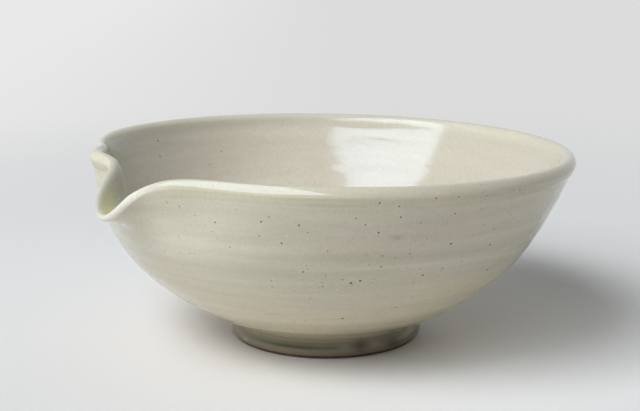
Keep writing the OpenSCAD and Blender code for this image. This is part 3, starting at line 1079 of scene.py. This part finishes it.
draw = np.random.default_rng(SPECK_SEED)
strewn = np.stack([
    draw.uniform(*STREWN_TURNS, STREWN_SPECKS),
    draw.uniform(*STREWN_HEIGHTS, STREWN_SPECKS),
    STREWN_RADII[0] + (STREWN_RADII[1] - STREWN_RADII[0]) * draw.uniform(0.0, 1.0, STREWN_SPECKS) ** 2,
], axis=1)
outside_specks = np.concatenate([OUTSIDE_SPECKS, strewn])
inside_specks = np.array(INSIDE_SPECKS)
outside_at, outside_out = speck_points(outside_specks[:, 0], outside_specks[:, 1], False)
inside_at, inside_out = speck_points(inside_specks[:, 0], inside_specks[:, 1], True)
iron_specks = speck_mesh(
    "iron_specks",
    np.concatenate([outside_at, inside_at]),
    np.concatenate([outside_out, inside_out]),
    np.concatenate([outside_specks[:, 2], inside_specks[:, 2]]),
    draw,
)
iron_specks.data.materials.append(IRON_SPECK)
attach(iron_specks, "root")


def studio(right, away, up):
    """A place given as the camera sees it, in metres, in the pot's own frame."""
    return Matrix.Rotation(math.radians(-180.0 - LIP_BEARING), 3, "Z") @ Vector((right, away, up))


def look(obj, at, towards):
    """Puts an object at a place with its -Z axis towards another, upright."""
    obj.location = at
    obj.rotation_mode = "QUATERNION"
    obj.rotation_quaternion = (towards - at).to_track_quat("-Z", "Y")


# Camera at the photograph's viewing angle
lens = bpy.data.cameras.new("camera")
lens.sensor_width = SENSOR_WIDTH
lens.lens = FOCAL_PIXELS / IMAGE_WIDTH * SENSOR_WIDTH
camera = bpy.data.objects.new("camera", lens)
bpy.context.scene.collection.objects.link(camera)
camera_at = studio(*(x * MM for x in CAMERA_AT))
aim = studio(
    math.sin(CAMERA_YAW) * math.cos(CAMERA_PITCH),
    math.cos(CAMERA_YAW) * math.cos(CAMERA_PITCH),
    -math.sin(CAMERA_PITCH),
)
look(camera, camera_at, camera_at + aim)
bpy.context.scene.camera = camera

# Lamps
bowl_middle = Vector((0.0, 0.0, RIM_HEIGHT * MM / 2.0))
for name, bearing, height, distance, width, length, power, colour in SOFTBOXES:
    is_window = name == "key_window"
    lamp = bpy.data.lights.new(name, "AREA")
    lamp.shape = "RECTANGLE"
    lamp.size, lamp.size_y = width, length
    lamp.energy = power
    lamp.color = colour
    softbox = bpy.data.objects.new(name, lamp)
    softbox.visible_glossy = is_window
    bpy.context.scene.collection.objects.link(softbox)
    side = float(cosd(height))
    direction = studio(side * float(cosd(bearing)), side * float(sind(bearing)), float(sind(height)))
    place = bowl_middle + distance * direction
    look(softbox, place, bowl_middle)
    if is_window:
        rise = math.tan(math.radians(WINDOW_LEAN)) * math.hypot(place.x, place.y)
        look(softbox, place, Vector((0.0, 0.0, place.z + rise)))
        softbox.rotation_quaternion @= Quaternion((0.0, 0.0, 1.0), math.radians(WINDOW_ROLL))

# Soft light from all round, and a pale background for the camera and for reflections
world = bpy.data.worlds.new("studio")
bpy.context.scene.world = world
world.use_nodes = True
sky = world.node_tree
sky.nodes.clear()
ray = sky.nodes.new("ShaderNodeLightPath")
seen = sky.nodes.new("ShaderNodeMath")
seen.operation = "MAXIMUM"
seen_through = sky.nodes.new("ShaderNodeMath")
seen_through.operation = "MAXIMUM"
fill = sky.nodes.new("ShaderNodeBackground")
fill.inputs["Color"].default_value = (1.0, 1.0, 1.0, 1.0)
fill.inputs["Strength"].default_value = SKY_LIGHT
backdrop = sky.nodes.new("ShaderNodeBackground")
backdrop.inputs["Color"].default_value = rgba(BACKGROUND_GREY)
choose = sky.nodes.new("ShaderNodeMixShader")
sky_output = sky.nodes.new("ShaderNodeOutputWorld")
sky.links.new(ray.outputs["Is Camera Ray"], seen.inputs[0])
sky.links.new(ray.outputs["Is Glossy Ray"], seen.inputs[1])
sky.links.new(seen.outputs[0], seen_through.inputs[0])
sky.links.new(ray.outputs["Is Transmission Ray"], seen_through.inputs[1])
sky.links.new(seen_through.outputs[0], choose.inputs[0])
sky.links.new(fill.outputs[0], choose.inputs[1])
sky.links.new(backdrop.outputs[0], choose.inputs[2])
sky.links.new(choose.outputs[0], sky_output.inputs["Surface"])

# A plain pale floor
floor_mesh = bpy.data.meshes.new("floor")
floor_turns = 2.0 * math.pi * np.arange(FLOOR_CORNERS) / FLOOR_CORNERS
floor_mesh.from_pydata(
    [(FLOOR_RADIUS * math.cos(a), FLOOR_RADIUS * math.sin(a), 0.0) for a in floor_turns],
    [],
    [list(range(FLOOR_CORNERS))],
)
floor = bpy.data.objects.new("floor", floor_mesh)
bpy.context.scene.collection.objects.link(floor)
table = Shader("pale_table")
table_place = table.add("TexCoord").outputs["Object"]
table_cloud = table.mapped(table.noise(table_place, *TABLE_CLOUD), *NOISE_MIDDLE)
table_pale = tuple(FLOOR_CLOUD * c for c in FLOOR_GREY)
table.put(table.surface, {
    "Base Color": table.mixed(table_cloud, rgba(FLOOR_GREY), rgba(table_pale)),
    "Roughness": FLOOR_ROUGHNESS,
    "Specular IOR Level": FLOOR_SPECULAR,
})
seen_ray = table.add("LightPath")
seen_share = table.math("MAXIMUM", seen_ray.outputs["Is Camera Ray"], seen_ray.outputs["Is Glossy Ray"])
seen_share = table.math("MAXIMUM", seen_share, seen_ray.outputs["Is Transmission Ray"])
away = table.add("VectorMath", {0: table_place}, operation="LENGTH").outputs["Value"]
far_share = table.math("MULTIPLY", seen_share, table.mapped(away, FLOOR_NEAR, FLOOR_FAR))
to_right = table.add("VectorMath", {0: table_place, 1: studio(1.0, 0.0, 0.0)}, operation="DOT_PRODUCT")
rightness = table.mapped(to_right.outputs["Value"], *PALER_SIDE)
far_colour = table.mixed(rightness, rgba(BACKGROUND_PALE), rgba(BACKGROUND_GREY))
far_floor = table.add("Emission", {"Color": far_colour, "Strength": 1.0})
blend = table.add("MixShader", {0: far_share, 1: table.surface.outputs[0], 2: far_floor.outputs[0]})
table.put(table.tree.nodes["Material Output"], {"Surface": blend.outputs[0]})
floor_mesh.materials.append(table.material)

bpy.context.scene.view_settings.view_transform = "Standard"
